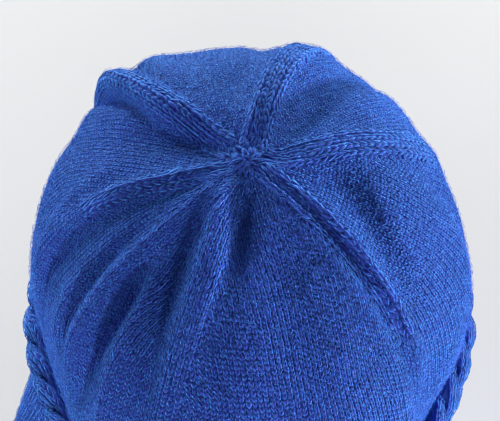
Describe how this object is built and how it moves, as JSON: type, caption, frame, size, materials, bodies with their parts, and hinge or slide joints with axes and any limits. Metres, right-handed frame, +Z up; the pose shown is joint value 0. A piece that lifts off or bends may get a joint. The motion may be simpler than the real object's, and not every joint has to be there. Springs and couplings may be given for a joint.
{
  "type": "knitted earflap hat",
  "caption": "Knitted winter hat: rounded crown gathered to a closing point by raised decrease ridges, a thick plaited band and two rounded earflaps below it.",
  "frame": {"origin": "centre of the head opening, level with the lower edge of the plaited band, where the hat sits on a head", "axes": "+Z up through the crown, -Y towards the wearer's front, +X towards the picture's right-hand side of the hat"},
  "size_m": [0.1952, 0.2036, 0.196],
  "materials": {
    "crown_knit": "royal blue plain knit wool yarn, matt with a soft fuzz",
    "band_knit": "royal blue plaited knit cord, matt with a soft fuzz",
    "flap_knit": "royal blue plain knit wool yarn, matt with a soft fuzz"
  },
  "bodies": {
    "root": {"crown": "crown_knit", "plaited_band": "band_knit", "earflap_left": "flap_knit", "earflap_right": "flap_knit"}
  },
  "joints": []
}
